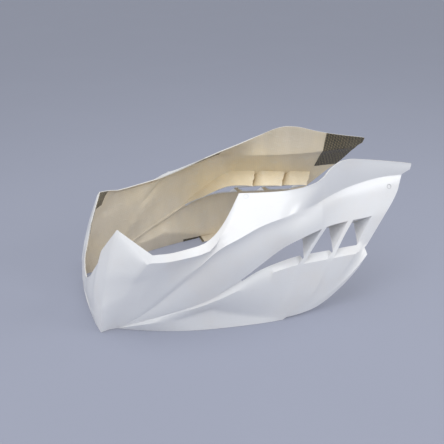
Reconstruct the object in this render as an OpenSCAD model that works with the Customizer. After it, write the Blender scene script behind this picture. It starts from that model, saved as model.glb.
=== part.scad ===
// Motorcycle headlight fairing: one glass-fibre moulding, drawn as it lies upside down on a table.
// X runs from the nose to the rear tabs, Y across the bike, Z up from the table.
// The skin is lofted through ten long feature lines, from the upper rim down to the lower edge.

/* [Overall] */
// Length from the nose to the rear tabs
length = 800; // [700:5:900]
// Width across the lower edges, at their widest
width = 454; // [400:2:500]
// Width across the two front corners
nose_width = 262; // [230:2:300]
// Width across the two rear tabs
tail_width = 214; // [180:2:250]
// Height of the humps in front of the rear tabs
height = 331; // [300:1:360]
// Height of the two peaks beside the screen cut
nose_height = 234; // [215:1:255]

/* [Skin] */
// Thickness of the laminate
wall = 2.5; // [1.5:0.1:4]
// Width of the turned rim beside the screen
rim_flange = 17; // [10:1:22]
// How far the nose swells in front of its own edges
nose_swell = 12; // [4:1:18]
// Depth of the fold that crosses the nose
nose_fold = 3; // [0:0.5:6]
// Height of the rim at the middle of the nose
nose_dip = 68; // [50:1:90]
// Depth of the valley beside the long shoulder ridge
ridge_valley = 5; // [0:0.5:8]
// Height of the step along the rear of the shoulder
rear_step = 4; // [0:0.5:7]

/* [Side vents] */
// Distance from the nose to the front tip of the vent
vent_start = 306; // [290:2:330]
// Distance from the nose to the first blade, on the upper lip
first_blade = 522; // [480:2:530]
// Distance from the first blade to the second; the next one is closer
blade_pitch = 80; // [66:1:86]
// How much closer each further blade stands
pitch_change = 19; // [0:1:24]
// Width of the outer face of a blade
blade_width = 12; // [6:1:18]
// How far a blade leans forward from the upper to the lower lip
blade_rake = 51; // [35:1:60]
// How far the hoods reach in behind the upper lip
hood_depth = 43; // [25:1:50]
// How far the hoods drop from the upper lip to their free edge
hood_drop = 25; // [15:1:32]
// Thickness of the fin between a hood and its blade, measured along the side
fin = 4; // [3:0.5:8]
// Width of the ledge under the opening
ledge = 25; // [12:1:30]
// Height of the opening at the first blade
vent_height = 52; // [40:1:60]

/* [Lower edge] */
// Distance from the nose to the front end of the turned lower flange
foot_start = 352; // [330:2:380]
// Width of that flange, which the belly pan fastens to
foot_flange = 34; // [20:1:44]

/* [Reinforcement] */
// Thickness of the woven patches inside
patch_wall = 0.8; // [0.4:0.1:1.5]

/* [Hidden] */

// The feature lines are drawn for these overall sizes and stretched to the ones above.
drawn = [800, 454, 262, 214, 331, 234];

// Nose, from its middle to the front ridge: station, distance back, half width, height.
nose_rim = [[0, 0, 0, nose_dip, 1], [1, 6, 45, nose_dip + 31], [1.5, 24, 71, 146], [2, 31, 73, 173, 1],
    [3, 62, 108, 234, 1], [3.5, 88, 148, 220], [4, 117, 186, 203, 1]];
nose_foot = [[0, -4, 0, 0], [1, -3, 45, 0], [2, 0, 92, 0], [3, 6, 131, 0, 1],
    [3.5, 25, 130, 3], [4, 44, 132, 3]];

// Sides, from the front ridge to the rear edge: distance back, half width, height.
// A 1 at the end of a point makes a corner there.
side_rim = [[117, 186, 203], [153, 195, 204], [200, 198, 211], [228, 196, 218], [257, 184, 229],
    [286, 164, 245], [336, 118, 281, 1], [400, 147, 286], [439, 160, 290], [481, 169, 298],
    [511, 168, 307], [541, 153, 323], [566, 143, 331], [600, 131, 330], [652, 114, 317],
    [710, 107, 304], [797, 107, 286]];
side_shoulder = [[44, 132, 3], [90, 161, 46], [132, 179, 90], [177, 195, 135], [210, 207, 165],
    [240, 213, 194], [262, 214, 208], [300, 211, 220], [350, 204, 236], [405, 203, 248],
    [440, 194, 250], [490, 174, 250], [550, 146, 254], [600, 127, 257], [655, 114, 260],
    [712, 108, 263], [768, 108, 261]];
side_upper_lip = [[44, 132, 3], [150, 182, 50], [240, 207, 86], [306, 212, 119], [352, 214, 150],
    [405, 213, 181], [436, 213, 192], [488, 197, 196], [540, 178, 195], [590, 167, 192],
    [640, 158, 188], [707, 149, 187]];
side_lower_lip = [[44, 132, 3], [150, 181, 47], [244, 206, 80], [309, 209, 114], [350, 207, 131],
    [400, 203, 140], [447, 195, 141], [527, 187, 136], [611, 180, 131], [645, 175, 124]];
side_crease = [[44, 132, 3], [107, 171, 25], [163, 189, 32], [202, 198, 41], [241, 207, 53, 1],
    [302, 217, 32], [353, 223, 18], [408, 227, 8], [455, 224, 15], [500, 221, 25],
    [571, 214, 66], [605, 208, 92], [631, 200, 113]];
side_foot = [[44, 132, 3], [75, 146, 0], [137, 174, 0], [200, 195, 0], [249, 206, 0], [300, 215, 0],
    [366, 224, 0], [408, 227, 0, 1], [412, 226, 4, 1], [455, 224, 5], [500, 220, 13],
    [571, 213, 56], [605, 207, 85], [628, 200, 108]];

// Where each line crosses the stations: front ridge, end of the screen cut, vent tip, screen
// corner, both edges of the two blades, vent end, rear edge.
back_x = length / drawn[0];
second_blade = first_blade + blade_pitch;
vent_end = second_blade + blade_pitch - pitch_change;
blade_x = [first_blade - blade_width, first_blade, second_blade - blade_width, second_blade, vent_end]
    / back_x;
rake_x = blade_rake / back_x;
tip_x = vent_start / back_x;
function blade_row(shift, squeeze = 1) = [for (x = blade_x) blade_x[0] + (x - blade_x[0]) * squeeze + shift];
stations = [0, 1, 2, 3, 4, 5, 6, 7, 8, 9];
rim_x = concat([117, 228, 286, 336], blade_row(14), [797]);
shoulder_x = concat([44, 240, 300, 350], blade_row(8), [768]);
upper_x = concat([44, 240, tip_x, tip_x + 48], blade_row(0), [707]);
lower_x = concat([44, 244, tip_x + 3, tip_x + 43], blade_row(-rake_x), [645]);
ledge_x = concat([44, 244, tip_x + 3, tip_x + 39], blade_row(-rake_x - 17), [634]);
crease_x = concat([44, 241, tip_x - 6, tip_x + 34], blade_row(-110, 0.8), [631]);
foot_x = concat([44, 249, tip_x - 6, tip_x + 38], blade_row(-106, 0.8), [628]);

// Columns of the loft in each stretch between two stations, and rows between two lines.
nose_cells = 8;
side_cells = [9, 4, 3, 11, 1, 6, 1, 5, 5];
band_cells = [1, 6, 1, 3, 2, 1, 1, 3, 2, 1];

function add(v, n) = n <= 0 ? 0 : v[n - 1] + add(v, n - 1);
function total(v, n) = n <= 0 ? v[0] : v[n] + total(v, n - 1);
columns = nose_cells + add(side_cells, len(side_cells));
rows = add(band_cells, len(band_cells));
nose_rows = band_cells[0] + band_cells[1];
hood_row = add(band_cells, 4);
mouth_row = add(band_cells, 5);
lip_row = add(band_cells, 6);
foot_row = add(band_cells, 9);

// A smooth curve through the points of a table, by its first number.
function cell_of(t, k, i = 0) = i >= len(t) - 2 || k < t[i + 1][0] ? i : cell_of(t, k, i + 1);
function rise(t, i) = (t[i + 1] - t[i]) / (t[i + 1][0] - t[i][0]);
function corner(t, i, n) = len(t[i]) > n;
function trim(t, n) = [for (p = t) [for (i = [0 : n - 1]) p[i]]];
function slope(t, s, i, left, n) =
    i == 0 ? rise(s, 0) : i == len(s) - 1 ? rise(s, i - 1) :
    corner(t, i, n) ? (left ? rise(s, i - 1) : rise(s, i)) : (rise(s, i - 1) + rise(s, i)) / 2;
function curve(t, k, n, s) = let (
    i = cell_of(s, k), h = s[i + 1][0] - s[i][0], u = (k - s[i][0]) / h,
    a = slope(t, s, i, false, n), b = slope(t, s, i + 1, true, n))
    s[i] * (1 + 2 * u) * (1 - u) * (1 - u) + a * h * u * (1 - u) * (1 - u)
    + s[i + 1] * u * u * (3 - 2 * u) + b * h * u * u * (u - 1);
function nose_point(t, g) = let (p = curve(t, g, 4, trim(t, 4))) [p[1], p[2], p[3]];
function side_point(t, x) = curve(t, x, 3, trim(t, 3));

// Stretch a drawn point to the chosen overall sizes.
function wide(x) = lookup(x, [[0, nose_width / drawn[2]], [400, width / drawn[1]], [700, tail_width / drawn[3]]]);
function tall(x) = lookup(x, [[90, nose_height / drawn[5]], [540, height / drawn[4]]]);
function real(p) = [p[0] * back_x, p[1] * wide(p[0]), p[2] * tall(p[0])];

// Which station a column stands at: 0 to 4 round the nose, then 4 to 13 along the side.
function side_station(n, s = 0) = s >= len(side_cells) ? s :
    n <= side_cells[s] ? s + part_way(n, side_cells[s], s) : side_station(n - side_cells[s], s + 1);
// A hood ends in a narrow column for its fin, and the later ones start with one as well.
function edge_share(s) = fin / (upper_x[s + 1] - upper_x[s]) / back_x;
function part_way(n, cells, s) = n == 0 ? 0 : n == cells ? 1 :
    s == 3 ? (1 - edge_share(s)) * n / (cells - 1) :
    s == 5 || s == 7 ? edge_share(s) + (1 - 2 * edge_share(s)) * (n - 1) / (cells - 2) : n / cells;
function station(j) = j <= nose_cells ? 4 * j / nose_cells : 4 + side_station(j - nose_cells);
function along(row, g) = lookup(g - 4, [for (i = [0 : 9]) [stations[i], row[i]]]);

// Outward direction of a column, turning from the front to the side.
function outward(g) = let (a = lookup(g, [[0, 0], [1, 8], [2, 24], [3, 42], [4, 66], [5, 90]])) [-cos(a), sin(a), 0];
function unit(v) = norm(v) < 0.0001 ? [0, 0, 0] : v / norm(v);

// The ten lines, at station g. On the nose the lines below the shoulder all run in its foot.
function rim(g) = real(g <= 4 ? nose_point(nose_rim, g) : side_point(side_rim, along(rim_x, g)));
function foot(g) = real(g <= 4 ? nose_point(nose_foot, g) : side_point(side_foot, along(foot_x, g)));
function shoulder(g) = g <= 4 ? foot(g) : real(side_point(side_shoulder, along(shoulder_x, g)));
function flange(g) = let (
    f = rim_flange * lookup(g, [[0, 0.3], [2, 0.3], [3, 0.45], [3.5, 0.45], [4, 0.95], [5, 1], [6, 0.6], [7, 0.35], [13, 0.3]]),
    tilt = lookup(g, [[0, 0], [3, 0.1], [4, 0.5], [5, 0.5], [6, 0.2], [7, 0.1], [13, 0]]))
    rim(g) + f * unit(shoulder(g) - rim(g)) + f * tilt * outward(g);
function upper_lip(g) = g <= 4 ? foot(g) : real(side_point(side_upper_lip, along(upper_x, g)));
function lower_lip(g) = g <= 4 ? foot(g) :
    real(side_point(side_lower_lip, along(lower_x, g)))
    - [0, 0, (vent_height - 52) * lookup(g, [[6, 0], [8, 1], [12, 1], [13, 0]])];
function valley(g) = let (
    s = shoulder(g), d = upper_lip(g) - s, far = min(13, norm(d) * 0.28),
    push = lookup(g, [[4, 0], [4.6, -ridge_valley], [6.3, -ridge_valley], [7.2, -ridge_valley / 2], [7.7, 0],
        [8, rear_step], [12.6, rear_step], [13, rear_step / 2]]))
    s + far * unit(d) + push * outward(g);
function ledge_edge(g) = let (
    p = lower_lip(g), a = lookup(g, [[6, 41], [7, 39], [8, 20], [13, 20]]),
    f = ledge * lookup(g, [[4, 0], [5, 0.22], [6, 0.65], [7, 0.66], [8, 1], [12, 1], [13, 0.3]]))
    g <= 4 ? foot(g) : [along(ledge_x, g) * back_x, p[1] + f * cos(a), p[2] - f * sin(a)];
// A blade runs on in a straight line over the lip, down to the edge of the ledge.
function on_blade(g) = (g >= 8 && g <= 9) || (g >= 10 && g <= 11);
function lip_line(g) = on_blade(g) ? upper_lip(g) + 0.84 * (ledge_edge(g) - upper_lip(g)) : lower_lip(g);
function crease(g) = g <= 4 ? foot(g) : real(side_point(side_crease, along(crease_x, g)));

// The lower flange turns in under the side and narrows towards the rear.
function foot_edge(g) = let (x = along(foot_x, g))
    foot(g) - [0, foot_flange * lookup(x, [[470, 1], [600, 0.3]]), 0];

// The hood edge: the first hood deepens from the front tip of the vent, the others have their full
// depth all along. Each ends in a fin, which comes out again to the foot of its blade.
function hood_edge(g) = let (
    s = g - 4, u = upper_lip(g), v = lip_line(g) - u, t = s < 4 ? (s - 2) / 2 : 1,
    under = (s > 2 && s < 4) || (s > 5 && s < 6) || (s > 7 && s < 8),
    down = under ? hood_drop / vent_height * (0.6 + 0.4 * t) : s <= 2 ? 0.5 : s > 8 ? 0.72 : 0.95,
    deep = under ? hood_depth * (1 - (1 - t) * (1 - t))
        : s <= 2 ? 4 * lookup(s, [[0, 0], [1, 0.2], [2, 1]]) : 0)
    g <= 4 ? foot(g) : u + down * v - deep * outward(g);

function line_at(k, g) = k == 0 ? rim(g) : k == 1 ? flange(g) : k == 2 ? shoulder(g) : k == 3 ? valley(g)
    : k == 4 ? upper_lip(g) : k == 5 ? hood_edge(g) : k == 6 ? lip_line(g) : k == 7 ? ledge_edge(g)
    : k == 8 ? crease(g) : k == 9 ? foot(g) : foot_edge(g);

// How far each band swells between its two lines.
function swell(b, g) =
    b == 1 ? lookup(g, [[0, 2], [1, nose_swell / 2], [2, nose_swell], [3, nose_swell], [3.5, nose_swell / 2],
        [4, -4], [5, -5], [6, 0], [7, 3], [8, 3], [13, 1]])
    : b == 3 ? lookup(g, [[4, 0], [5, 5], [6, 6], [8, 3], [9, 0], [13, 0]])
    : b == 7 ? lookup(g, [[4, 0], [5, 2], [7, 5], [10, 5], [13, 0]]) : 0;
function band_of(i, b = 0) = b == len(band_cells) - 1 || i < band_cells[b] ? [b, i / band_cells[b]]
    : band_of(i - band_cells[b], b + 1);

// On the nose the middle row follows the fold, from the foot in the middle up to the front ridge.
function fold_at(g) = lookup(g, [[0, 0.93], [2, 0.8], [3, 0.6], [4, 0.3], [5, 0.42], [6, 0.5]]);
function row_part(t, g) = let (m = fold_at(g)) t <= 0.5 ? 2 * t * m : m + (2 * t - 1) * (1 - m);
function skin(i, g) = let (
    bt = band_of(i), b = bt[0], t = b == 1 ? row_part(bt[1], g) : b == 8 ? pow(bt[1], 0.45) : bt[1],
    fold = b == 1 && bt[1] == 0.5 ? nose_fold * lookup(g, [[0, 1], [4, 1], [4.3, 0]]) : 0)
    line_at(b, g) * (1 - t) + line_at(b + 1, g) * t + (swell(b, g) * 4 * t * (1 - t) - fold) * outward(g)
    + [shift(b, g, t), 0, 0];
// The front ridge bows forward, and the rear edge carries the tab.
function shift(b, g, t) = b == 1 ? -lookup(g, [[3, 0], [4, 16], [5, 0]]) * 4 * t * (1 - t)
        + (g == 13 ? lookup(t, [[0, 0], [0.5, 9], [0.75, 2], [1, 0]]) : 0)
    : b == 3 ? (g == 13 ? 28 * t * (1 - t) : 0) : b == 0 && g == 13 ? -4 * (1 - t) : 0;

// The whole loft: columns from the near rear edge, round the nose, to the far rear edge.
half = [for (j = [0 : columns]) let (g = station(j)) [for (i = [0 : rows]) skin(i, g)]];
function side_column(c) = c < columns ? columns - c : c - columns;
points = [for (c = [0 : 2 * columns]) let (j = side_column(c), side = c < columns ? -1 : 1)
    [for (p = half[j]) [p[0], side * p[1], p[2]]]];

function side_cell(c) = c < columns ? columns - 1 - c : c - columns;
function is_open(j) = let (a = station(j) - 4) (a >= 2 && a < 4) || (a >= 5 && a < 6) || (a >= 7 && a < 8);
function is_foot(j) = let (x = along(foot_x, station(j))) j > nose_cells && x > foot_start - 3 && x < 590;
function solid(i, c) = let (j = side_cell(c))
    i >= 0 && i < rows && c >= 0 && c < 2 * columns
    && !(i >= nose_rows && j < nose_cells) && !(i >= foot_row && !is_foot(j))
    && !(i >= mouth_row && i < lip_row && is_open(j));
// Vertices of the nose below its foot are one vertex.
function row_of(i, c) = i > nose_rows && side_column(c) <= nose_cells ? nose_rows : i;
function vertex(i, c) = c * (rows + 1) + row_of(i, c);
function at(i, c) = points[c][row_of(i, c)];

function cell_normal(i, c) = solid(i, c) ? cross(at(i, c + 1) - at(i + 1, c), at(i + 1, c + 1) - at(i, c)) : [0, 0, 0];
normals = [for (c = [0 : 2 * columns]) [for (i = [0 : rows])
    let (r = row_of(i, c), low = i >= nose_rows && side_column(c) <= nose_cells,
        n = low ? [for (k = [nose_rows - 1 : rows - 1]) cell_normal(k, c - 1) + cell_normal(k, c)]
            : [cell_normal(i - 1, c - 1) + cell_normal(i, c - 1) + cell_normal(i - 1, c) + cell_normal(i, c)])
    unit(total(n, len(n) - 1))]];
function inner(i, c, d) = at(i, c) - d * normals[c][row_of(i, c)];

// The finished part stands with the middle of its base at the origin.
all_z = [for (c = [0 : 2 * columns]) each [for (i = [0 : rows]) min(at(i, c)[2], inner(i, c, wall)[2])]];
all_x = [for (c = [0 : 2 * columns]) each [for (i = [0 : rows]) at(i, c)[0]]];
to_origin = [-(min(all_x) + max(all_x)) / 2, 0, -min(all_z)];

function tri(a, b, c) = a == b || b == c || a == c ? [] : [[a, b, c]];
function quad(a, b, c, d) = concat(tri(a, b, c), tri(a, c, d));

module sheet(d0, d1, i0, i1, c0, c1) {
    count = (2 * columns + 1) * (rows + 1);
    function here(i, c) = i >= i0 && i < i1 && c >= c0 && c < c1 && solid(i, c);
    verts = concat(
        [for (c = [0 : 2 * columns]) each [for (i = [0 : rows]) inner(i, c, d0)]],
        [for (c = [0 : 2 * columns]) each [for (i = [0 : rows]) inner(i, c, d1)]]);
    faces = [for (c = [c0 : c1 - 1]) each [for (i = [i0 : i1 - 1]) if (here(i, c)) each let (
        a = vertex(i, c), b = vertex(i, c + 1), e = vertex(i + 1, c + 1), f = vertex(i + 1, c))
        concat(
            quad(a, f, e, b),
            quad(a + count, b + count, e + count, f + count),
            here(i - 1, c) ? [] : quad(a, b, b + count, a + count),
            here(i + 1, c) ? [] : quad(e, f, f + count, e + count),
            here(i, c - 1) ? [] : quad(f, a, a + count, f + count),
            here(i, c + 1) ? [] : quad(b, e, e + count, b + count))]];
    translate(to_origin) polyhedron(points = verts, faces = faces, convexity = 12);
}

// A woven patch bonded to the inside, from row i0 to i1 and half column j0 to j1 of one side.
module patch(side, i0, i1, j0, j1)
    sheet(wall, wall + patch_wall, i0, i1, side > 0 ? columns + j0 : columns - j1, side > 0 ? columns + j1 : columns - j0);
function col(s) = nose_cells + add(side_cells, s);

module fairing_shell() { color("whitesmoke") sheet(0, wall, 0, rows, 0, 2 * columns); }
module nose_patch_left() { color("dimgray") patch(-1, 0, 2, 3, 7); }
module nose_patch_right() { color("dimgray") patch(1, 0, 2, 3, 7); }
module screen_patch_left() { color("dimgray") patch(-1, 0, 4, col(3) - 1, col(3) + 3); }
module screen_patch_right() { color("dimgray") patch(1, 0, 4, col(3) - 1, col(3) + 3); }
module tail_patch_left() { color("dimgray") patch(-1, 0, 10, col(8), col(9)); }
module tail_patch_right() { color("dimgray") patch(1, 0, 10, col(8), col(9)); }
module foot_patch_left() { color("dimgray") patch(-1, foot_row - 1, rows, col(2), col(3) + 2); }
module foot_patch_right() { color("dimgray") patch(1, foot_row - 1, rows, col(2), col(3) + 2); }

fairing_shell();
nose_patch_left();
nose_patch_right();
screen_patch_left();
screen_patch_right();
tail_patch_left();
tail_patch_right();
foot_patch_left();
foot_patch_right();
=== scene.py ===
import math

import bmesh
import bpy
from bpy.props import FloatProperty, FloatVectorProperty, IntProperty, PointerProperty
from bpy.types import Operator, Panel, PropertyGroup
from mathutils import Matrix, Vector
from mathutils.bvhtree import BVHTree
from mathutils.kdtree import KDTree


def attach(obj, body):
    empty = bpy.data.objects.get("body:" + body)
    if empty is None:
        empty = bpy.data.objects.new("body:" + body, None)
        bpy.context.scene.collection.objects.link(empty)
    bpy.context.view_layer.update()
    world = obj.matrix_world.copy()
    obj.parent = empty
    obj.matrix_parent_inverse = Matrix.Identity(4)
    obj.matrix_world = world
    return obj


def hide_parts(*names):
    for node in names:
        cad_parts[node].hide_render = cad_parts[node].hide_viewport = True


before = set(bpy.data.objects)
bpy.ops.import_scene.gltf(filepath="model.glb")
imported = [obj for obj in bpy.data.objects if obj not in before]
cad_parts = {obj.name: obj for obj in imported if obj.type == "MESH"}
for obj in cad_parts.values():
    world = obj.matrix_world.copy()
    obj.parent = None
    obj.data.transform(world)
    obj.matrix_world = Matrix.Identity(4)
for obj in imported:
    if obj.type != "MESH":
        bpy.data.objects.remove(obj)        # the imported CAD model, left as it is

bl_info = {
    "name": "Glass-fibre race fairing",
    "version": (1, 0, 0),
    "blender": (4, 5, 0),
    "location": "3D View > Sidebar > Fairing",
    "description": "Gelcoat, raw laminate and woven patches on a moulded race fairing",
    "category": "Object",
}

SHELL = "fairing_shell"
MOULDED = "moulded_shell"
PATCHES = [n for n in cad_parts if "_patch_" in n]
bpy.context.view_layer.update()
OUTSIDE, INSIDE, EDGE = 0, 1, 2         # kinds of face on the shell, and their material slots
# Place of each drill mark on one side, and how deep it looks and how dark the painted shade round its
# rim is.
DRILL_MARKS = [((0.3315, 0.1212, 0.2415), 1.0), ((-0.0463, 0.1310, 0.2770), 0.3)]
DRILL_RADIUS = 0.0062
GLASS_CLOTH = {"Thread": 0.0034, "Turn": 0.6}       # width of a thread, and radians off the length

# Lines along the side, as x and height in metres.
LOW_CREASE = [(-0.287, 0.025), (-0.231, 0.032), (-0.192, 0.041), (-0.153, 0.053), (-0.092, 0.032),
              (-0.041, 0.018), (0.014, 0.008)]
LEDGE = [(-0.287, 0.040), (-0.150, 0.074), (-0.085, 0.100), (-0.044, 0.112), (0.014, 0.116)]
# How far the low crease is pressed in, as x and a share of the fold's depth.
FOLD_DEPTH = [(-0.300, 0.0), (-0.231, 0.35), (-0.192, 0.7), (-0.153, 1.0), (-0.092, 0.75),
              (-0.041, 0.45), (0.014, 0.0)]

# How far the rim turns in along the nose and the screen cut, as x and a share of the turn.
RIM_TURN = [(-0.400, 0.15), (-0.345, 0.25), (-0.300, 0.6), (-0.270, 1.0), (-0.166, 1.0),
            (-0.108, 0.5), (-0.058, 0.0)]

FOLD_DROP = 0.45            # how far the low crease goes down for each metre that it goes in
SLACK = 0.012               # share by which a step across the rim may differ from the wall
SHARP_BEND = 52.0           # degrees: an edge that bends more is a cut corner
CORNER_TURN = 17            # degrees: a cut edge that turns more has a corner there
SHADE_ANGLE = 38            # degrees: flatter edges are shaded smooth
SMALL_SPOT = 6              # faces: a smaller patch of edge colour is no edge
SEE_THROUGH_GAP = 0.0004    # least wall left where smoothing brought the skins together
PATCH_GAP = 0.00002         # a patch stands this far off the inner skin
RIM_REACH = 0.003           # a corner of a patch this close to the rim turns with it
SAME_PLACE = 0.0001         # a corner of the shell this close to the CAD shell's is the same one
MERGE_GAP = 0.00004         # corners of a CAD node closer than this are one

# The upper rim is above the first height up to this x, and above the second one behind it.
SCREEN_START, NOSE_RIM_LOW, SCREEN_RIM_LOW = -0.09, 0.13, 0.24

# The photograph's camera: place, way it looks over the table, degrees down, focal length, width.
CAMERA_PLACE, CAMERA_WAY, CAMERA_DOWN = (-0.5097, -1.2370, 0.8120), (0.3094, 0.8398), 26.49
FOCAL_PIXELS, PHOTO_PIXELS = 600.0, 444.0
AIM_HEIGHT = 0.12           # the lamps point at this height over the middle of the part

COLOUR = {"subtype": "COLOR", "size": 4, "min": 0, "max": 1}
LENGTH = {"unit": "LENGTH", "precision": 4}
POWER = {"unit": "POWER", "min": 0, "max": 200}


# Sizes and colours.

class FairingShellSettings(PropertyGroup):
    wall: FloatProperty(name="Wall", description="Thickness of the laminate",
                        default=0.0025, min=0.001, max=0.006, **LENGTH)
    smoothing: IntProperty(name="Smoothing", description="Times the loft's cells are halved",
                           default=2, min=1, max=3)
    fold: FloatProperty(name="Fold", description="Depth of the low crease on the sides",
                        default=0.012, min=0.0, max=0.02, **LENGTH)
    rim_turn: FloatProperty(name="Rim turn", description="How far the front rim is turned in",
                            default=0.008, min=0.0, max=0.012, **LENGTH)
    gelcoat: FloatVectorProperty(name="Gelcoat", description="Colour of the outside",
                                 default=(0.88, 0.885, 0.90, 1.0), **COLOUR)
    laminate: FloatVectorProperty(name="Laminate", description="Colour of the raw inside",
                                  default=(0.87, 0.78, 0.64, 1.0), **COLOUR)
    # Also the colour of the painted glow beside the vents.
    resin: FloatVectorProperty(name="Resin", description="Colour where the resin is thick",
                               default=(0.95, 0.81, 0.56, 1.0), **COLOUR)


class FairingClothSettings(PropertyGroup):
    layer: FloatProperty(name="Layer", description="Thickness of a patch",
                         default=0.0008, min=0.0002, max=0.003, **LENGTH)
    thread: FloatProperty(name="Thread", description="Width of one thread of the cloth",
                          default=0.0031, min=0.0005, max=0.006, **LENGTH)
    carbon: FloatVectorProperty(name="Carbon", description="Colour of the dark threads",
                                default=(0.022, 0.021, 0.016, 1.0), **COLOUR)
    aramid: FloatVectorProperty(name="Aramid", description="Colour of the tan threads",
                                default=(0.62, 0.50, 0.27, 1.0), **COLOUR)


class FairingStageSettings(PropertyGroup):
    floor: FloatVectorProperty(name="Floor", description="Colour of the floor",
                               default=(0.40, 0.42, 0.50, 1.0), **COLOUR)
    soft_box: FloatProperty(name="Soft box", description="Power of the lamp overhead",
                            default=16.0, **POWER)
    side_fill: FloatProperty(name="Side fill", description="Power of the lamp beside the camera",
                             default=9.0, **POWER)
    rear_fill: FloatProperty(name="Rear fill", description="Power of the lamp beside the rear edge",
                             default=17.0, **POWER)
    sky: FloatProperty(name="Room light", description="Strength of the light from all round",
                       default=0.50, min=0, max=2)


# Node groups and materials.

class Nodes:
    """Small helper that adds and joins the nodes of one tree."""

    def __init__(self, tree):
        self.tree = tree

    def add(self, kind, **values):
        node = self.tree.nodes.new(kind)
        for name, value in values.items():
            setattr(node, name, value)
        return node

    def put(self, socket, value):
        if isinstance(value, bpy.types.NodeSocket):
            self.tree.links.new(value, socket)
        elif value is not None:
            socket.default_value = value

    def math(self, operation, a, b=None, clamp=False):
        node = self.add("ShaderNodeMath", operation=operation, use_clamp=clamp)
        for socket, value in zip(node.inputs, (a, b)):
            self.put(socket, value)
        return node.outputs[0]

    def noise(self, vector, scale, detail=2.0, rough=0.5, stretch=None):
        if stretch:
            mapping = self.add("ShaderNodeMapping")
            self.put(mapping.inputs["Vector"], vector)
            mapping.inputs["Scale"].default_value = stretch
            vector = mapping.outputs[0]
        node = self.add("ShaderNodeTexNoise")
        self.put(node.inputs["Vector"], vector)
        node.inputs["Scale"].default_value = scale
        node.inputs["Detail"].default_value = detail
        node.inputs["Roughness"].default_value = rough
        return node.outputs["Fac"]

    def remap(self, value, low, high, to_low=0.0, to_high=1.0):
        node = self.add("ShaderNodeMapRange", interpolation_type="SMOOTHSTEP")
        self.put(node.inputs["Value"], value)
        names = ("From Min", "From Max", "To Min", "To Max")
        for name, number in zip(names, (low, high, to_low, to_high)):
            self.put(node.inputs[name], number)
        return node.outputs[0]

    def blend(self, factor, a, b, kind="MIX"):
        node = self.add("ShaderNodeMix", data_type="RGBA", blend_type=kind)
        self.put(node.inputs[0], factor)
        self.put(node.inputs[6], a)
        self.put(node.inputs[7], b)
        return node.outputs[2]


def new_group(name, inputs, outputs):
    group = bpy.data.node_groups.new(name, "ShaderNodeTree")
    for label, kind, value in inputs:
        socket = group.interface.new_socket(name=label, in_out="INPUT", socket_type=kind)
        if value is not None:
            socket.default_value = value
    for label, kind in outputs:
        group.interface.new_socket(name=label, in_out="OUTPUT", socket_type=kind)
    nodes = Nodes(group)
    return group, nodes, nodes.add("NodeGroupInput"), nodes.add("NodeGroupOutput")


def cloth_group():
    """Plain weave on a flat vector in metres: thread height, and which thread lies on top."""
    name = "Woven cloth"
    if name in bpy.data.node_groups:
        return bpy.data.node_groups[name]
    group, n, start, end = new_group(
        name,
        [("Vector", "NodeSocketVector", None), ("Thread", "NodeSocketFloat", 0.002),
         ("Turn", "NodeSocketFloat", 0.0)],
        [("Height", "NodeSocketFloat"), ("Warp", "NodeSocketFloat")])
    turn = n.add("ShaderNodeVectorRotate", rotation_type="Z_AXIS")
    n.put(turn.inputs["Vector"], start.outputs["Vector"])
    n.put(turn.inputs["Angle"], start.outputs["Turn"])
    size = n.add("ShaderNodeVectorMath", operation="SCALE")
    n.put(size.inputs[0], turn.outputs[0])
    n.put(size.inputs["Scale"], n.math("DIVIDE", 1.0, start.outputs["Thread"]))
    parts = n.add("ShaderNodeSeparateXYZ")
    n.put(parts.inputs[0], size.outputs[0])
    u, v = parts.outputs[0], parts.outputs[1]
    cell = n.math("ADD", n.math("FLOOR", u), n.math("FLOOR", v))
    warp = n.math("FLOORED_MODULO", cell, 2.0)
    across_u = n.math("SINE", n.math("MULTIPLY", n.math("FRACT", u), math.pi))
    across_v = n.math("SINE", n.math("MULTIPLY", n.math("FRACT", v), math.pi))
    pick = n.add("ShaderNodeMix", data_type="FLOAT")
    n.put(pick.inputs[0], warp)
    n.put(pick.inputs[2], across_v)
    n.put(pick.inputs[3], across_u)
    both = n.math("MULTIPLY", across_u, across_v)
    height = n.math("ADD", n.math("MULTIPLY", pick.outputs[0], 0.6), n.math("MULTIPLY", both, 0.4))
    n.put(end.inputs["Height"], height)
    n.put(end.inputs["Warp"], warp)
    return group


def handling_group():
    """Dust, haze and fine rubbing marks, as masks that any finish can use."""
    name = "Handling marks"
    if name in bpy.data.node_groups:
        return bpy.data.node_groups[name]
    group, n, start, end = new_group(
        name, [("Vector", "NodeSocketVector", None)],
        [("Haze", "NodeSocketFloat"), ("Rub", "NodeSocketFloat"), ("Wave", "NodeSocketFloat")])
    vector = start.outputs["Vector"]
    haze = n.remap(n.noise(vector, 9.0, 4.0, 0.6), 0.42, 0.68)
    rub = n.remap(n.noise(vector, 42.0, 3.0, 0.7, (1.0, 1.0, 6.0)), 0.6, 0.72)
    wave = n.noise(vector, 13.0, 1.0, 0.3)
    n.put(end.inputs["Haze"], haze)
    n.put(end.inputs["Rub"], rub)
    n.put(end.inputs["Wave"], wave)
    return group


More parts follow.
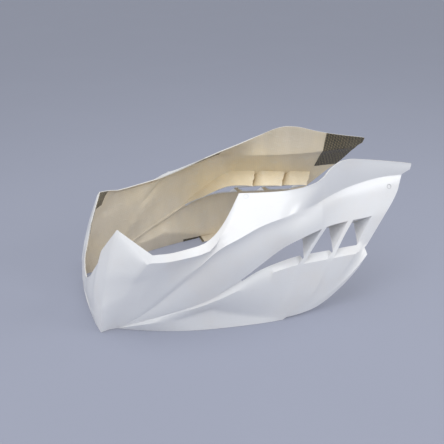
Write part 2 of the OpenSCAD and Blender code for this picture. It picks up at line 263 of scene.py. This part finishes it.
def drill_mark_group():
    """Round blank marks, where the screws are drilled when the fairing is fitted, with painted shade
    round each rim.
    """
    name = "Drill marks"
    if name in bpy.data.node_groups:
        return bpy.data.node_groups[name]
    group, n, start, end = new_group(
        name, [("Vector", "NodeSocketVector", None), ("Radius", "NodeSocketFloat", 0.006)],
        [("Dip", "NodeSocketFloat"), ("Painted rim shade", "NodeSocketFloat")])
    parts = n.add("ShaderNodeSeparateXYZ")
    n.put(parts.inputs[0], start.outputs["Vector"])
    near_side = n.add("ShaderNodeCombineXYZ")
    n.put(near_side.inputs[0], parts.outputs[0])
    n.put(near_side.inputs[1], n.math("ABSOLUTE", parts.outputs[1]))
    n.put(near_side.inputs[2], parts.outputs[2])
    dip = ring = 0.0
    for mark, depth in DRILL_MARKS:
        away = n.add("ShaderNodeVectorMath", operation="DISTANCE")
        n.put(away.inputs[0], near_side.outputs[0])
        away.inputs[1].default_value = mark
        share = n.math("DIVIDE", away.outputs["Value"], start.outputs["Radius"])
        dip = n.math("ADD", dip, n.remap(share, 1.0, 0.55, 0.0, -depth))
        # Painted shade: a dark band round the rim of each dip, as if the dimple's edge were in shade.
        edge = n.math("MULTIPLY", n.remap(share, 0.6, 0.85), n.remap(share, 1.15, 0.9, 0.0, depth))
        ring = n.math("ADD", ring, edge)
    n.put(end.inputs["Dip"], dip)
    n.put(end.inputs["Painted rim shade"], ring)
    return group


def place_group(n, group, **values):
    node = n.add("ShaderNodeGroup")
    node.node_tree = group
    for name, value in values.items():
        n.put(node.inputs[name], value)
    return node


def new_material(name):
    material = bpy.data.materials.new(name)
    material.use_nodes = True
    tree = material.node_tree
    tree.nodes.clear()
    n = Nodes(tree)
    out = n.add("ShaderNodeOutputMaterial")
    shader = n.add("ShaderNodeBsdfPrincipled")
    tree.links.new(shader.outputs[0], out.inputs[0])
    where = n.add("ShaderNodeTexCoord")
    return material, n, shader, where


def bump(n, shader, height, distance):
    node = n.add("ShaderNodeBump")
    node.inputs["Strength"].default_value = 1.0
    node.inputs["Distance"].default_value = distance
    n.put(node.inputs["Height"], height)
    n.put(shader.inputs["Normal"], node.outputs[0])


def gelcoat_material(settings):
    """White gelcoat straight from the mould: satin gloss, long waves and a little print-through."""
    material, n, shader, where = new_material("White gelcoat")
    spot = where.outputs["Object"]
    marks = place_group(n, handling_group(), Vector=spot)
    cloth = place_group(n, cloth_group(), Vector=where.outputs["UV"], **GLASS_CLOTH)
    holes = place_group(n, drill_mark_group(), Vector=spot, Radius=DRILL_RADIUS)
    base = tuple(settings.gelcoat)
    warm = (base[0], base[1] * 0.975, base[2] * 0.945, 1.0)
    colour = n.blend(n.math("MULTIPLY", marks.outputs["Haze"], 0.7), base, warm)
    colour = n.blend(n.math("MULTIPLY", marks.outputs["Rub"], 0.08), colour, (0.62, 0.62, 0.62, 1.0))
    # Painted shade round the rims of the drill marks.
    colour = n.blend(n.math("MULTIPLY", holes.outputs["Painted rim shade"], 0.6), colour, (0.45, 0.45, 0.47, 1.0))
    n.put(shader.inputs["Base Color"], colour)
    n.put(shader.inputs["Roughness"], n.remap(marks.outputs["Haze"], 0.0, 1.0, 0.30, 0.42))
    shader.inputs["Coat Weight"].default_value = 0.25
    shader.inputs["Coat Roughness"].default_value = 0.12
    shader.inputs["IOR"].default_value = 1.5
    height = n.math("ADD", marks.outputs["Wave"], n.math("MULTIPLY", cloth.outputs["Height"], 0.012))
    height = n.math("ADD", height, n.math("MULTIPLY", holes.outputs["Dip"], 0.55))
    bump(n, shader, height, 0.0022)
    return material


def laminate_material(settings):
    """Raw inside: glass cloth in clear resin, golden in random pools of thick resin and with a painted
    glow beside the vents, with loose strands.
    """
    material, n, shader, where = new_material("Raw laminate")
    spot = where.outputs["Object"]
    cloth = place_group(n, cloth_group(), Vector=where.outputs["UV"], **GLASS_CLOTH)
    parts = n.add("ShaderNodeSeparateXYZ")
    n.put(parts.inputs[0], spot)
    x, z = parts.outputs[0], parts.outputs[2]
    # Painted glow: the laminate beside the vents is made golden, as if light came through the thin wall
    # there.
    painted_glow_by_vents = n.math("MULTIPLY", n.remap(z, 0.10, 0.18), n.remap(z, 0.30, 0.20))
    painted_glow_by_vents = n.math("MULTIPLY", painted_glow_by_vents, n.remap(x, -0.20, 0.02))
    pools = n.remap(n.noise(spot, 6.5, 4.0, 0.62), 0.40, 0.66)
    # thick holds both the random pools of thick resin and the painted glow beside the vents.
    thick = n.math("MULTIPLY", painted_glow_by_vents, 0.75)
    thick = n.math("ADD", thick, n.math("MULTIPLY", pools, 0.45), clamp=True)
    strands = n.remap(n.noise(spot, 60.0, 4.0, 0.7, (1.0, 0.35, 2.2)), 0.5, 0.72)
    streaks = n.remap(n.noise(spot, 16.0, 3.0, 0.6, (1.0, 1.0, 0.22)), 0.42, 0.62)
    colour = n.blend(thick, tuple(settings.laminate), tuple(settings.resin))
    colour = n.blend(n.math("MULTIPLY", streaks, 0.18), colour, (0.58, 0.51, 0.38, 1.0))
    colour = n.blend(n.math("MULTIPLY", strands, 0.30), colour, (0.92, 0.88, 0.78, 1.0))
    colour = n.blend(n.math("MULTIPLY", cloth.outputs["Warp"], 0.10), colour, (0.60, 0.52, 0.38, 1.0))
    n.put(shader.inputs["Base Color"], colour)
    n.put(shader.inputs["Roughness"], n.remap(thick, 0.0, 1.0, 0.48, 0.30))
    shader.inputs["Coat Weight"].default_value = 0.2
    shader.inputs["Coat Roughness"].default_value = 0.25
    height = n.math("ADD", n.math("MULTIPLY", cloth.outputs["Height"], 0.22),
                    n.math("ADD", n.math("MULTIPLY", strands, 0.35), n.noise(spot, 24.0, 3.0)))
    bump(n, shader, height, 0.0012)
    return material


def edge_material():
    """The sawn and sanded edge: pale gelcoat and glass in resin."""
    material, n, shader, where = new_material("Trimmed edge")
    grain = n.noise(where.outputs["Object"], 420.0, 3.0, 0.7)
    colour = n.blend(n.remap(grain, 0.45, 0.7), (0.84, 0.83, 0.81, 1.0), (0.66, 0.62, 0.53, 1.0))
    n.put(shader.inputs["Base Color"], colour)
    shader.inputs["Roughness"].default_value = 0.62
    bump(n, shader, grain, 0.0004)
    return material


def woven_material(settings):
    """Carbon and aramid cloth under a thin coat of resin."""
    material, n, shader, where = new_material("Carbon and aramid cloth")
    cloth = place_group(n, cloth_group(), Vector=where.outputs["UV"], Thread=settings.thread, Turn=0.52)
    tan = n.math("MULTIPLY", cloth.outputs["Warp"], n.remap(cloth.outputs["Height"], 0.55, 0.80))
    fray = n.noise(where.outputs["Object"], 900.0, 2.0)
    tan = n.math("MULTIPLY", tan, n.remap(fray, 0.25, 0.55, 0.45, 1.0))
    colour = n.blend(tan, tuple(settings.carbon), tuple(settings.aramid))
    # Painted shade: the weave is darkened where its threads dip low, between them.
    deep = n.remap(cloth.outputs["Height"], 0.1, 0.6, 0.35, 1.0)
    painted_weave_shade = n.add("ShaderNodeCombineColor")
    for socket in painted_weave_shade.inputs[:3]:
        n.put(socket, deep)
    colour = n.blend(1.0, colour, painted_weave_shade.outputs[0], "MULTIPLY")
    marks = place_group(n, handling_group(), Vector=where.outputs["Object"])
    colour = n.blend(n.math("MULTIPLY", marks.outputs["Haze"], 0.08), colour, (0.42, 0.38, 0.30, 1.0))
    n.put(shader.inputs["Base Color"], colour)
    n.put(shader.inputs["Roughness"], n.remap(tan, 0.0, 1.0, 0.38, 0.6))
    shader.inputs["Coat Weight"].default_value = 0.35
    shader.inputs["Coat Roughness"].default_value = 0.2
    bump(n, shader, cloth.outputs["Height"], 0.0005)
    return material


# Mesh steps.

def only(obj):
    """Select one object alone and make it active."""
    if bpy.context.object and bpy.context.object.mode != "OBJECT":
        bpy.ops.object.mode_set(mode="OBJECT")
    bpy.ops.object.select_all(action="DESELECT")
    obj.select_set(True)
    bpy.context.view_layer.objects.active = obj


def copy_of(node, name):
    """A merged copy of a CAD node, as one joined skin of four-sided cells."""
    only(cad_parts[node])
    bpy.ops.object.duplicate(linked=False)
    piece = bpy.context.object
    piece.name = piece.data.name = name
    piece.data.materials.clear()
    bpy.ops.object.mode_set(mode="EDIT")
    bpy.ops.mesh.select_mode(type="FACE")
    bpy.ops.mesh.select_all(action="SELECT")
    bpy.ops.mesh.remove_doubles(threshold=MERGE_GAP)
    bpy.ops.mesh.customdata_custom_splitnormals_clear()
    bpy.ops.mesh.mark_sharp(clear=True)
    bpy.ops.mesh.tris_convert_to_quads(face_threshold=math.radians(60),
                                       shape_threshold=math.radians(75))
    bpy.ops.mesh.faces_shade_smooth()
    bpy.ops.object.mode_set(mode="OBJECT")
    return piece


def hold_folds(piece, least=1.8, clear=7.0):
    """Crease each moulded fold: an edge that bends more than the ones that run beside it.

    Bends are in degrees: least is the smallest extra bend of a fold, and clear that of a crisp one.
    """
    work = bmesh.new()
    work.from_mesh(piece.data)
    on_edges, on_verts = work.edges.layers.float, work.verts.layers.float
    creases = on_edges.get("crease_edge") or on_edges.new("crease_edge")
    corners = on_verts.get("crease_vert") or on_verts.new("crease_vert")
    bend = {e: math.degrees(e.calc_face_angle_signed(0.0)) if e.is_manifold else 90.0
            for e in work.edges}

    def beside(edge, face):
        if len(face.verts) != 4:
            return []
        return [bend[e] for e in face.edges if not set(e.verts) & set(edge.verts)]

    for edge in work.edges:
        own = bend[edge]
        near = [b for f in edge.link_faces for b in beside(edge, f)]
        extra = abs(own - sum(near) / max(1, len(near)))
        if abs(own) > SHARP_BEND:
            edge[creases] = 1.0
        elif extra > least and all(abs(own) >= abs(b) for b in near):
            edge[creases] = 0.42 if extra < clear else 0.55
    for vert in work.verts:
        sharp = [(e.other_vert(vert).co - vert.co).normalized()
                 for e in vert.link_edges if e[creases] == 1.0]
        if len(sharp) == 2 and sharp[0].angle(-sharp[1]) > math.radians(CORNER_TURN):
            vert[corners] = 1.0
    work.to_mesh(piece.data)
    work.free()


def along_line(points, x):
    """Value of a drawn line at x, level beyond both ends."""
    for (x0, v0), (x1, v1) in zip(points, points[1:]):
        if x <= x1:
            return v0 + (v1 - v0) * max(0.0, x - x0) / (x1 - x0)
    return points[-1][1]


def press_lower_fold(piece, depth):
    """Press the side in along its low crease, so that the lip under the crease looks up."""
    for vert in piece.data.vertices:
        x, y, z = vert.co
        line, top = along_line(LOW_CREASE, x), along_line(LEDGE, x)
        share = z / line if z < line else (top - z) / (top - line)
        push = depth * along_line(FOLD_DEPTH, x) * max(0.0, min(1.0, share))
        if abs(y) > 0.1 and push > 0.0:
            vert.co.y -= math.copysign(push, y)
            vert.co.z -= push * FOLD_DROP


def turn_rim(piece, wall, amount, reach):
    """Turn the front rim in, so that the band under it looks up and catches the light.

    The moves come from the steps across the CAD shell's upper rim, and a corner of the piece that
    is within reach of one takes the same move.
    """
    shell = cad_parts[SHELL].data
    moves = []
    for edge in shell.edges:
        start, end = (shell.vertices[i].co for i in edge.vertices)
        x, y, z = (start + end) / 2
        below_rim = z < (NOSE_RIM_LOW if x < SCREEN_START else SCREEN_RIM_LOW)
        if below_rim or abs((end - start).length - wall) > wall * SLACK:
            continue
        way = (end - start).normalized()
        if way.dot(Vector((max(0.0, -0.1 - x), -y, 0.0))) < 0.0:
            way.negate()
        move = way * amount * along_line(RIM_TURN, x)
        moves += [(start.copy(), move), (end.copy(), move)]
    near = KDTree(len(moves))
    for i, (spot, move) in enumerate(moves):
        near.insert(spot, i)
    near.balance()
    for vert in piece.data.vertices:
        spot, i, gap = near.find(vert.co)
        if gap < reach:
            vert.co += moves[i][1]


def smooth_skin(piece, levels):
    """Halve the cells of a piece, with its creases held, and shade it smooth."""
    only(piece)
    halve = piece.modifiers.new("Smooth skin", "SUBSURF")
    halve.levels = halve.render_levels = levels
    halve.boundary_smooth = "PRESERVE_CORNERS"
    bpy.ops.object.modifier_apply(modifier=halve.name)
    bpy.ops.object.shade_smooth_by_angle(angle=math.radians(SHADE_ANGLE))


def skin_tree(mesh, kind):
    """Search tree of the shell's faces of one kind."""
    faces = [list(f.vertices) for f in mesh.polygons if f.material_index == kind]
    return BVHTree.FromPolygons([v.co.copy() for v in mesh.vertices], faces)


def keep_wall(piece):
    """Set the inner skin back where smoothing brought it up to the outer one."""
    mesh = piece.data
    skin = skin_tree(mesh, OUTSIDE)
    held = {i for f in mesh.polygons if f.material_index != INSIDE for i in f.vertices}
    for vert in mesh.vertices:
        if vert.index in held:
            continue
        spot, normal = skin.find_nearest(vert.co)[:2]
        if (vert.co - spot).dot(normal) > -SEE_THROUGH_GAP:
            vert.co = spot - normal * SEE_THROUGH_GAP


def lay_on(piece, shell, layer):
    """Lift a smoothed patch out of the smoothed shell: back on the inner skin, face a layer up."""
    skin = skin_tree(shell.data, INSIDE)
    for vert in piece.data.vertices:
        spot, normal = skin.find_nearest(vert.co)[:2]
        facing = vert.normal.dot(normal)
        least = PATCH_GAP + layer * (1.0 if facing > 0.3 else 0.0 if facing < -0.3 else 0.5)
        if (vert.co - spot).dot(normal) < least:
            vert.co = spot + normal * least


def flat_map(piece):
    """Box-projected UV in metres, for cloth that follows each face."""
    only(piece)
    bpy.ops.object.mode_set(mode="EDIT")
    bpy.ops.mesh.select_all(action="SELECT")
    bpy.ops.uv.cube_project(cube_size=1.0, correct_aspect=False, clip_to_bounds=False,
                            scale_to_bounds=False)
    bpy.ops.object.mode_set(mode="OBJECT")


def clear_spots(work, kind):
    """Give a small spot of edge colour the kind beside it: a real edge is a long ring of faces."""
    seen = set()
    for seed in work.faces:
        if kind[seed.index] != EDGE or seed.index in seen:
            continue
        spot, stack, beside = [], [seed], []
        seen.add(seed.index)
        while stack:
            face = stack.pop()
            spot.append(face.index)
            for other in {f for e in face.edges for f in e.link_faces if f is not face}:
                if kind[other.index] != EDGE:
                    beside.append(kind[other.index])
                elif other.index not in seen:
                    seen.add(other.index)
                    stack.append(other)
        if len(spot) <= SMALL_SPOT:
            for index in spot:
                kind[index] = round(sum(beside) / len(beside))


def part_sheets(mesh, wall):
    """Kind of each face of a thin shell: OUTSIDE, INSIDE or EDGE.

    The two skins stand one wall apart, so they meet only in edges of that length, on the rims.
    """
    work = bmesh.new()
    work.from_mesh(mesh)
    work.verts.ensure_lookup_table()
    step = {e for e in work.edges if abs(e.calc_length() - wall) < wall * SLACK}
    rung = {f for f in work.faces if any(e in step for e in f.edges)}
    skin = [0] * len(work.verts)
    sizes = {0: 0}
    for seed in work.verts:
        if skin[seed.index]:
            continue
        label, stack = len(sizes), [seed]
        skin[seed.index] = label
        sizes[label] = 0
        while stack:
            vert = stack.pop()
            sizes[label] += 1
            for edge in vert.link_edges:
                other = edge.other_vert(vert)
                if edge in step or all(f in rung for f in edge.link_faces) or skin[other.index]:
                    continue
                skin[other.index] = label
                stack.append(other)
    first, second = sorted(sizes, key=sizes.get)[:-3:-1]
    if sizes[second] < 0.4 * sizes[first]:
        raise RuntimeError("the shell's two skins could not be told apart")
    kind = []
    for face in work.faces:
        labels = {skin[v.index] for v in face.verts} & {first, second}
        kind.append(EDGE if len(labels) != 1 else OUTSIDE if first in labels else INSIDE)
    clear_spots(work, kind)
    away = sum(f.calc_area() * math.copysign(f.normal.y, f.normal.y * f.calc_center_median().y)
               for f in work.faces if kind[f.index] == OUTSIDE)
    work.free()
    swap = {OUTSIDE: INSIDE, INSIDE: OUTSIDE, EDGE: EDGE}
    return kind if away > 0 else [swap[k] for k in kind]


def finish_piece(piece, *nodes):
    """Give a finished piece its body, in place of its CAD nodes, which are hidden."""
    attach(piece, "root")
    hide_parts(*nodes)


# Operators.

class FAIRING_OT_shell(Operator):
    """Smooth the lofted shell and finish its outside, inside and edges"""
    bl_idname = "fairing.shell"
    bl_label = "Mould the shell"

    def execute(self, context):
        settings = context.scene.fairing_shell
        piece = copy_of(SHELL, MOULDED)
        kinds = part_sheets(piece.data, settings.wall)
        for material in (gelcoat_material(settings), laminate_material(settings), edge_material()):
            piece.data.materials.append(material)
        for face, kind in zip(piece.data.polygons, kinds):
            face.material_index = kind
        turn_rim(piece, settings.wall, settings.rim_turn, SAME_PLACE)
        press_lower_fold(piece, settings.fold)
        hold_folds(piece)
        smooth_skin(piece, settings.smoothing)
        keep_wall(piece)
        flat_map(piece)
        finish_piece(piece, SHELL)
        return {"FINISHED"}


class FAIRING_OT_patches(Operator):
    """Smooth the woven patches on the inside and give them their cloth"""
    bl_idname = "fairing.patches"
    bl_label = "Lay the patches"

    def execute(self, context):
        settings, shell = context.scene.fairing_cloth, context.scene.fairing_shell
        cloth = woven_material(settings)
        for node in PATCHES:
            piece = copy_of(node, node.replace("_patch_", "_cloth_"))
            piece.data.materials.append(cloth)
            turn_rim(piece, shell.wall, shell.rim_turn, RIM_REACH)
            press_lower_fold(piece, shell.fold)
            hold_folds(piece)
            smooth_skin(piece, shell.smoothing)
            lay_on(piece, bpy.data.objects[MOULDED], settings.layer)
            flat_map(piece)
            finish_piece(piece, node)
        return {"FINISHED"}


class FAIRING_OT_stage(Operator):
    """Set the floor, the lamps, the room light and the camera"""
    bl_idname = "fairing.stage"
    bl_label = "Set the stage"

    def lamp(self, name, place, size, power):
        bpy.ops.object.light_add(type="AREA", location=place)
        lamp = bpy.context.object
        lamp.name = name
        aim = Vector((0.0, 0.0, AIM_HEIGHT)) - Vector(place)
        lamp.rotation_euler = aim.to_track_quat("-Z", "Y").to_euler()
        lamp.data.shape = "RECTANGLE"
        lamp.data.size, lamp.data.size_y = size
        lamp.data.energy = power

    def floor(self, colour):
        """A plain floor. A part of what the camera sees is even, and the rest keeps the shadow."""
        bpy.ops.mesh.primitive_plane_add(size=14.0, location=(0.0, 0.0, -0.0003))
        floor = bpy.context.object
        floor.name = "stage_floor"
        bpy.ops.object.transform_apply(location=True, rotation=True, scale=True)
        material, n, shader, where = new_material("Plain floor")
        dim = (colour[0] * 0.55, colour[1] * 0.56, colour[2] * 0.6, 1.0)
        path = n.add("ShaderNodeLightPath")
        seen = path.outputs["Is Camera Ray"]
        mirrored = n.math("MAXIMUM", path.outputs["Is Glossy Ray"], path.outputs["Is Transmission Ray"])
        seen = n.math("MAXIMUM", seen, mirrored)
        grain = n.remap(n.noise(where.outputs["Object"], 2.0, 2.0), 0.3, 0.7, 0.98, 1.02)
        share = n.math("MULTIPLY", seen, grain, clamp=True)
        n.put(shader.inputs["Base Color"], n.blend(share, colour, dim))
        shader.inputs["Emission Color"].default_value = colour
        n.put(shader.inputs["Emission Strength"], n.math("MULTIPLY", seen, 0.36))
        shader.inputs["Roughness"].default_value = 0.75
        shader.inputs["Specular IOR Level"].default_value = 0.2
        floor.data.materials.append(material)

    def room(self, scene, sky):
        """Light from all round, with a plain wall where the camera looks past the floor."""
        world = scene.world or bpy.data.worlds.new("Room")
        scene.world = world
        world.use_nodes = True
        world.node_tree.nodes.clear()
        room = Nodes(world.node_tree)
        out = room.add("ShaderNodeOutputWorld")
        light = room.add("ShaderNodeBackground")
        view = room.add("ShaderNodeBackground")
        light.inputs[0].default_value = (0.93, 0.96, 1.0, 1.0)
        light.inputs[1].default_value = sky
        view.inputs[0].default_value = (0.60, 0.62, 0.67, 1.0)
        path = room.add("ShaderNodeLightPath")
        mix = room.add("ShaderNodeMixShader")
        room.put(mix.inputs[0], path.outputs["Is Camera Ray"])
        room.put(mix.inputs[1], light.outputs[0])
        room.put(mix.inputs[2], view.outputs[0])
        room.put(out.inputs[0], mix.outputs[0])

    def camera(self, scene):
        """The photograph's view, level with the table."""
        tilt, turn = math.radians(90 - CAMERA_DOWN), -math.atan2(*CAMERA_WAY)
        bpy.ops.object.camera_add(location=CAMERA_PLACE, rotation=(tilt, 0.0, turn))
        camera = bpy.context.object
        camera.name = "stage_camera"
        camera.data.sensor_width = 36.0
        camera.data.lens = 36.0 * FOCAL_PIXELS / PHOTO_PIXELS
        camera.data.clip_end = 50.0
        scene.camera = camera

    def execute(self, context):
        settings = context.scene.fairing_stage
        if bpy.context.object and bpy.context.object.mode != "OBJECT":
            bpy.ops.object.mode_set(mode="OBJECT")
        bpy.ops.object.select_all(action="DESELECT")
        self.floor(tuple(settings.floor))
        self.lamp("overhead_soft_box", (-0.10, -0.15, 2.1), (1.7, 1.3), settings.soft_box)
        self.lamp("side_fill", (-1.9, -0.9, 0.9), (1.2, 1.2), settings.side_fill)
        self.lamp("rear_fill", (1.8, -1.3, 1.5), (1.2, 1.0), settings.rear_fill)
        self.room(context.scene, settings.sky)
        self.camera(context.scene)
        context.scene.view_settings.view_transform = "Standard"
        return {"FINISHED"}


class FAIRING_PT_panel(Panel):
    """The fairing's pieces, sizes and colours"""
    bl_idname = "FAIRING_PT_panel"
    bl_label = "Race fairing"
    bl_space_type = "VIEW_3D"
    bl_region_type = "UI"
    bl_category = "Fairing"

    def draw(self, context):
        scene = context.scene
        for title, operator, settings in (
                ("Shell", "fairing.shell", scene.fairing_shell),
                ("Woven patches", "fairing.patches", scene.fairing_cloth),
                ("Stage", "fairing.stage", scene.fairing_stage)):
            box = self.layout.box()
            box.label(text=title)
            for name in settings.bl_rna.properties.keys():
                if name not in ("rna_type", "name"):
                    box.prop(settings, name)
            box.operator(operator)


CLASSES = (FairingShellSettings, FairingClothSettings, FairingStageSettings, FAIRING_OT_shell,
           FAIRING_OT_patches, FAIRING_OT_stage, FAIRING_PT_panel)


def register():
    for item in CLASSES:
        bpy.utils.register_class(item)
    bpy.types.Scene.fairing_shell = PointerProperty(type=FairingShellSettings)
    bpy.types.Scene.fairing_cloth = PointerProperty(type=FairingClothSettings)
    bpy.types.Scene.fairing_stage = PointerProperty(type=FairingStageSettings)


def unregister():
    del bpy.types.Scene.fairing_stage
    del bpy.types.Scene.fairing_cloth
    del bpy.types.Scene.fairing_shell
    for item in reversed(CLASSES):
        bpy.utils.unregister_class(item)


def main():
    register()
    bpy.ops.fairing.stage()
    bpy.ops.fairing.shell()
    bpy.ops.fairing.patches()


if __name__ == "__main__":
    main()
